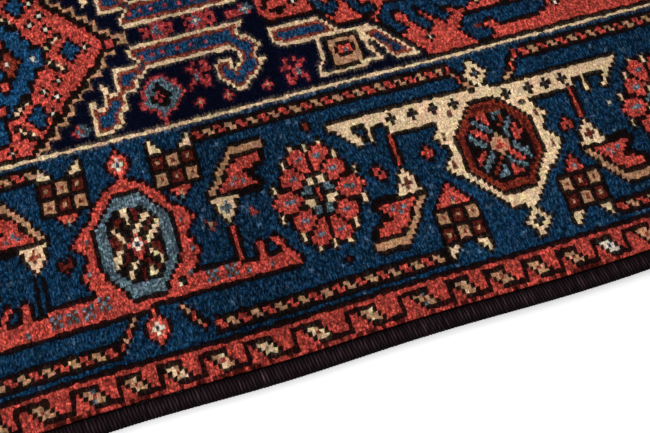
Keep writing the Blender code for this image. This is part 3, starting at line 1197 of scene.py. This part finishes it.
def pile_wool():
    """Clipped wool in the knot's colour: tufts that each differ, with painted shade in the gaps
    between them and painted highlights on the liveliest wools, rows, and fine fibres.
    """
    wool = Shading("wool_pile")
    knot = wool.step("Attribute", {}, attribute_name="wool")
    colour, lively = knot["Color"], knot["Alpha"]
    scale = {"Scale": TUFT_SCALE}
    tuft = wool.texture("TexVoronoi", TUFT_STRETCH, scale, voronoi_dimensions="2D")
    numbers = wool.step("SeparateColor", {"Color": tuft["Color"]})
    middle, own, shine = tuft["Distance"], numbers["Red"], numbers["Green"]
    rows = wool.noise(ROW_SCALE, 1, ROW_STRETCH)
    fibres = wool.noise(FIBRE_SCALE, 2, FIBRE_STRETCH)
    wear = wool.noise(WEAR_SCALE, 3)
    fine = wool.worked("ADD", wool.spread(rows, -0.7, 0.7), wool.spread(fibres, -0.3, 0.3))
    uneven = wool.worked("ADD", wool.spread(own, -1, 1, 0, 1), fine)
    # Each tuft swings in colour at random, and gets painted shade: lighter at its middle, darker
    # towards its rim in the gaps.
    painted = wool.scaled(
        colour,
        wool.worked("POWER", TUFT_SWING, wool.worked("MULTIPLY", uneven, lively)),
        wool.swing(wear, WEAR_SWING),
        wool.spread(middle, 1.15, 0.6, 0.1, 0.7),
    )
    # Painted highlights: pale glints added in streaks along the rows, on the liveliest wools, the blue
    # and the grey.
    shine, highlight_streaks = wool.spread(shine, 0.2, 1, 0, 1), wool.spread(rows, 0, 1, 0.5, 0.75)
    highlight_streaks = wool.worked("MULTIPLY", shine, highlight_streaks)
    glints = wool.worked("MULTIPLY", wool.spread(lively, 0, 1, *GLINTING), highlight_streaks)
    inputs = {0: painted, 1: wool.scaled(GLINT, glints)}
    painted = wool.step("VectorMath", inputs, operation="ADD")["Vector"]
    tufts = wool.spread(middle, 1, 0, 0, 0.8)
    heights = ((tufts, TUFT_DEPTH), (rows, ROW_DEPTH), (fibres, FIBRE_DEPTH))
    return wool.finished(painted, heights)


def spun_wool(name, colour, scale, stretch, times):
    """Spun wool, uneven along its strands, of one colour or of each corner's own, which on the cord
    holds painted highlight and shade.
    """
    wool = Shading(name)
    strands = wool.noise(scale, 2, stretch)
    lot = wool.noise(LOT_SCALE, 2)
    if colour:
        base = tuple(linear(colour))
    else:
        base = wool.step("Attribute", {}, attribute_name="wool")["Color"]
    painted = wool.scaled(base, wool.swing(strands, times), wool.swing(lot, LOT_SWING))
    return wool.finished(painted, ((strands, 0.0004),))


# ---- The rug ----
pile_material = pile_wool()
cord_material = spun_wool("wool_cord", None, 1500, (1, 0.12, 0.12), 1.4)
warp_material = spun_wool("warp_wool", (222, 204, 172), 1300, (0.5, 1, 1), 1.15)

strips = make_pile(pile_material)
sides = (("side_cord_near", -1), ("side_cord_far", 1))
cords = [edge_cord(name, side, cord_material) for name, side in sides]
bands = [end_band(name, warp_material) for name in ("end_band_right", "end_band_left")]
fringes = [fringe("fringe_right", 1, warp_material), fringe("fringe_left", -1, warp_material)]

for strip in strips:
    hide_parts("pile_body")
for piece in strips + cords + bands + fringes:
    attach(piece, "root")


# ---- Floor, light and camera ----
FLOOR_SIZE, FLOOR_DROP, FLOOR_COLOUR = 12, 0.0002, (0.9, 0.9, 0.9, 1)
LAMPS = (("key", (-0.6, -1.2, 2.2), 1.6, 38), ("fill", (1.4, 1.6, 2), 2, 22))  # size and power
LIT = (0.1, -0.2, 0)  # where both point
SKY = 0.62
CAMERA_PLACE = (0.24225769, -0.45930951, 0.71340231)
CAMERA_RIGHT = (0.95300357, -0.29842519, 0.05221693)
CAMERA_UP = (0.26660688, 0.90796322, 0.32330105)
CAMERA_LENS = 43.59


def make_floor():
    bpy.ops.mesh.primitive_plane_add(size=FLOOR_SIZE, location=(0, 0, -FLOOR_DROP))
    floor = bpy.context.object
    floor.name = "floor"
    pale = Shading("pale_floor", 0.9, 0.1)
    floor.data.materials.append(pale.surface({"Base Color": FLOOR_COLOUR}))
    floor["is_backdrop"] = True


def make_lights():
    for name, place, size, power in LAMPS:
        light = bpy.data.lights.new(name, "AREA")
        light.shape = "DISK"
        light.size = size
        light.energy = power
        obj = linked(name, light)
        obj.location = place
        obj.rotation_euler = (Vector(LIT) - Vector(place)).to_track_quat("-Z", "Y").to_euler()
    world = bpy.data.worlds.new("studio")
    world.use_nodes = True
    sky = world.node_tree.nodes["Background"].inputs
    sky["Color"].default_value = (1, 1, 1, 1)
    sky["Strength"].default_value = SKY
    bpy.context.scene.world = world


def make_camera():
    """The photo's view: from above the near border, looking down across it."""
    camera = bpy.data.cameras.new("camera")
    camera.lens = CAMERA_LENS
    camera.clip_start = 0.01
    obj = linked("camera", camera)
    right, up = Vector(CAMERA_RIGHT), Vector(CAMERA_UP)
    turn = Matrix((right, up, right.cross(up))).transposed().to_4x4()
    obj.matrix_world = Matrix.Translation(CAMERA_PLACE) @ turn
    bpy.context.scene.camera = obj


make_floor()
make_lights()
bpy.context.scene.view_settings.view_transform = "Standard"
make_camera()

boxes = {"cad": CAD_BOX, "visual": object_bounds()}
{name: [list(corner) for corner in box_] for name, box_ in boxes.items()}
